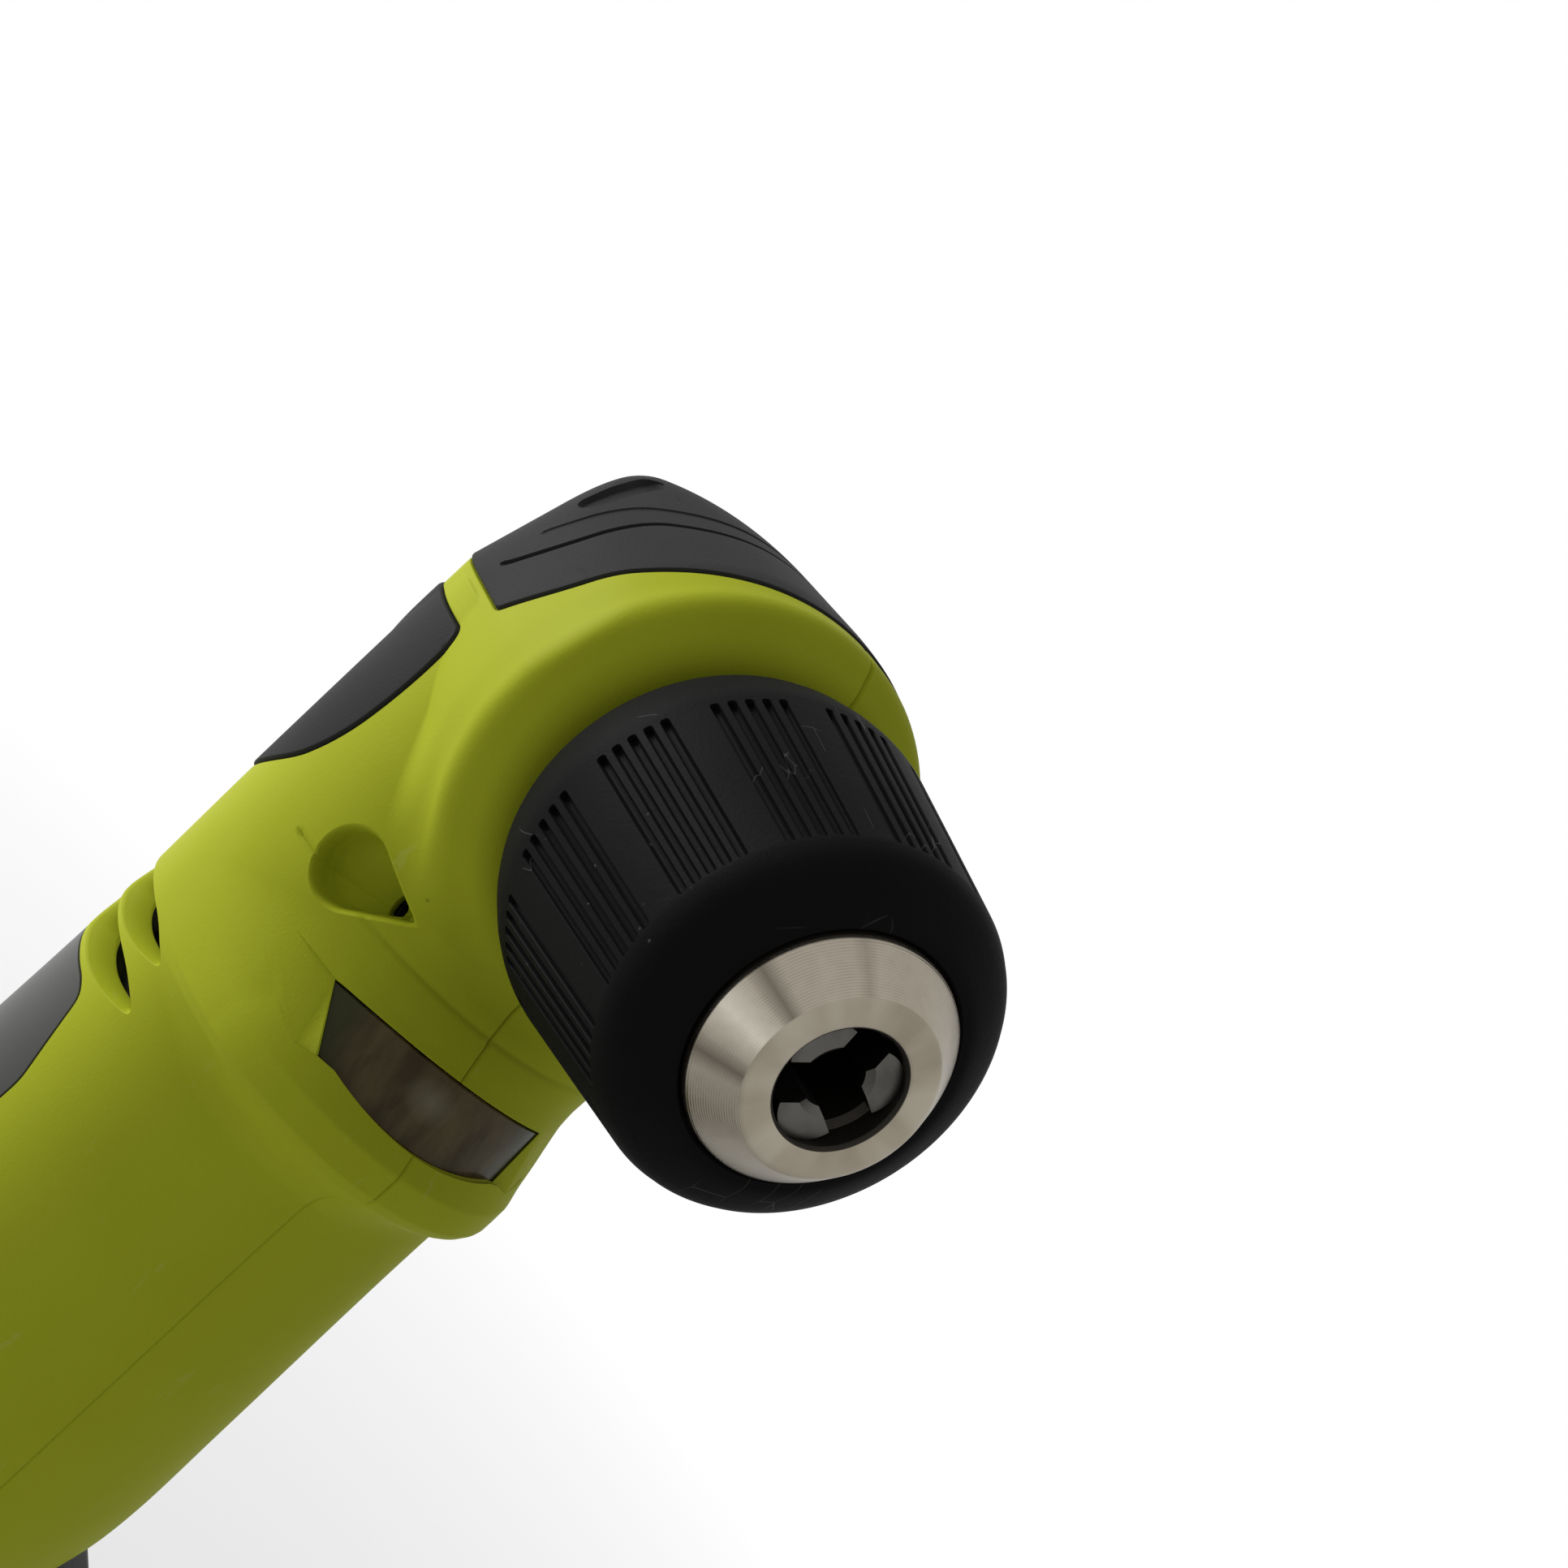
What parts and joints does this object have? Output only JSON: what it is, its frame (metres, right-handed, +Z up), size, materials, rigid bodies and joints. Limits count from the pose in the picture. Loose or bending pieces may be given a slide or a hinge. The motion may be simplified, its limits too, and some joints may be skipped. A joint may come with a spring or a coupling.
{
  "type": "right angle drill",
  "caption": "Cordless right angle drill: upright barrel handle, keyless chuck at a right angle to it, lamp below the chuck, long trigger and a slide-in battery pack as its foot.",
  "frame": {"origin": "on the base of the battery pack, under the handle's axis", "axes": "+Z up along the handle, +X along the chuck's axis towards the bit, +Y to the right of the tool"},
  "size_m": [0.1194, 0.078, 0.3324],
  "materials": {
    "shell_lime": "fine moulded texture, lime green",
    "soft_black": "soft matte overmould",
    "lens": "smoky clear moulding",
    "board": "green circuit board",
    "label": "bare graphite plate",
    "screw": "black oxide",
    "case": "die cast",
    "bearing": "ground",
    "gear_steel": "hardened, oiled",
    "chuck_steel": "turned, warm grey",
    "sleeve_black": "matte grip",
    "can": "zinc plated",
    "magnet": "ferrite",
    "black_plastic": "moulded",
    "lamination": "stacked sheet",
    "copper": "enamelled copper",
    "wire_red": "insulation",
    "cell_wrap": "shrink sleeve",
    "latch_green": "moulded"
  },
  "bodies": {
    "housing": {"left_shell": "shell_lime", "right_shell": "shell_lime", "head_cap": "soft_black", "rear_grip": "soft_black", "handle_grip": "soft_black", "led_lens": "lens", "led_board": "board", "label_plates": "label", "shell_screws": "screw", "gear_case": "case", "front_bearing": "bearing", "rear_bearing": "bearing", "pinion_bearing": "bearing", "ring_gear": "gear_steel", "motor_can": "can", "magnets": "magnet", "end_bell": "black_plastic", "brushes": "magnet", "switch_module": "black_plastic", "terminal_block": "board", "wires": "wire_red", "trigger_spring": "can"},
    "spindle": {"spindle": "gear_steel", "bevel_gear": "gear_steel", "chuck_body": "chuck_steel", "chuck_screw": "screw"},
    "jaw_1": {"jaw_1": "chuck_steel"},
    "jaw_2": {"jaw_2": "chuck_steel"},
    "jaw_3": {"jaw_3": "chuck_steel"},
    "sleeve": {"chuck_sleeve": "sleeve_black", "split_nut": "gear_steel"},
    "carrier": {"pinion_shaft": "gear_steel", "planet_carrier": "gear_steel"},
    "planet_1": {"planet_1": "gear_steel"},
    "planet_2": {"planet_2": "gear_steel"},
    "planet_3": {"planet_3": "gear_steel"},
    "rotor": {"motor_shaft": "gear_steel", "sun_gear": "gear_steel", "armature_core": "lamination", "windings": "copper", "commutator": "copper", "fan": "black_plastic"},
    "trigger": {"trigger": "black_plastic"},
    "selector": {"direction_selector": "black_plastic"},
    "pack": {"pack_tub": "black_plastic", "pack_lid": "black_plastic", "pack_board": "board", "pack_terminals": "copper", "cell_1": "cell_wrap", "cell_2": "cell_wrap", "cell_3": "cell_wrap", "cell_4": "cell_wrap", "cell_5": "cell_wrap"},
    "latch_left": {"latch_left": "latch_green"},
    "latch_right": {"latch_right": "latch_green"}
  },
  "joints": [
    {"name": "spindle_spin", "type": "hinge", "parent": "housing", "child": "spindle", "pos_m": [0, 0, 0.306], "axis": [1, 0, 0], "continuous": true},
    {"name": "carrier_spin", "type": "hinge", "parent": "housing", "child": "carrier", "pos_m": [0, 0, 0.273], "axis": [0, 0, 1], "continuous": true},
    {"name": "rotor_spin", "type": "hinge", "parent": "housing", "child": "rotor", "pos_m": [0, 0, 0.236], "axis": [0, 0, 1], "continuous": true},
    {"name": "planet_1_spin", "type": "hinge", "parent": "carrier", "child": "planet_1", "pos_m": [0.01148, 0, 0.265], "axis": [0, 0, 1], "continuous": true},
    {"name": "planet_2_spin", "type": "hinge", "parent": "carrier", "child": "planet_2", "pos_m": [-0.00574, 0.00994, 0.265], "axis": [0, 0, 1], "continuous": true},
    {"name": "planet_3_spin", "type": "hinge", "parent": "carrier", "child": "planet_3", "pos_m": [-0.00574, -0.00994, 0.265], "axis": [0, 0, 1], "continuous": true},
    {"name": "sleeve_turn", "type": "hinge", "parent": "spindle", "child": "sleeve", "pos_m": [0.045, 0, 0.306], "axis": [1, 0, 0], "range_deg": [-2300, 2400]},
    {"name": "jaw_1_slide", "type": "slide", "parent": "spindle", "child": "jaw_1", "axis": [0.9659, -0.0329, 0.2567], "range_m": [-0.0086, 0.0082]},
    {"name": "jaw_2_slide", "type": "slide", "parent": "spindle", "child": "jaw_2", "axis": [0.9659, -0.2059, -0.1568], "range_m": [-0.0086, 0.0082]},
    {"name": "jaw_3_slide", "type": "slide", "parent": "spindle", "child": "jaw_3", "axis": [0.9659, 0.2388, -0.0999], "range_m": [-0.0086, 0.0082]},
    {"name": "trigger_pull", "type": "slide", "parent": "housing", "child": "trigger", "axis": [-1, 0, 0], "range_m": [0, 0.0055], "stiffness_N_per_m": 500, "springref_m": -0.002, "deforming": ["trigger_spring"]},
    {"name": "selector_slide", "type": "slide", "parent": "housing", "child": "selector", "axis": [0, 1, 0], "range_m": [-0.003, 0.003]},
    {"name": "pack_pull", "type": "slide", "parent": "housing", "child": "pack", "axis": [0, 0, -1], "range_m": [0, 0.075]},
    {"name": "latch_left_press", "type": "slide", "parent": "pack", "child": "latch_left", "axis": [0, 1, 0], "range_m": [0, 0.002], "stiffness_N_per_m": 600, "springref_m": -0.001},
    {"name": "latch_right_press", "type": "slide", "parent": "pack", "child": "latch_right", "axis": [0, -1, 0], "range_m": [0, 0.002], "stiffness_N_per_m": 600, "springref_m": -0.001}
  ],
  "couplings": [
    {"joint": "carrier_spin", "follows": "spindle_spin", "ratio": 2},
    {"joint": "rotor_spin", "follows": "spindle_spin", "ratio": 9},
    {"joint": "planet_1_spin", "follows": "spindle_spin", "ratio": -5.6},
    {"joint": "planet_2_spin", "follows": "spindle_spin", "ratio": -5.6},
    {"joint": "planet_3_spin", "follows": "spindle_spin", "ratio": -5.6},
    {"joint": "jaw_1_slide", "follows": "sleeve_turn", "m_per_rad": -0.000202},
    {"joint": "jaw_2_slide", "follows": "sleeve_turn", "m_per_rad": -0.000202},
    {"joint": "jaw_3_slide", "follows": "sleeve_turn", "m_per_rad": -0.000202}
  ]
}
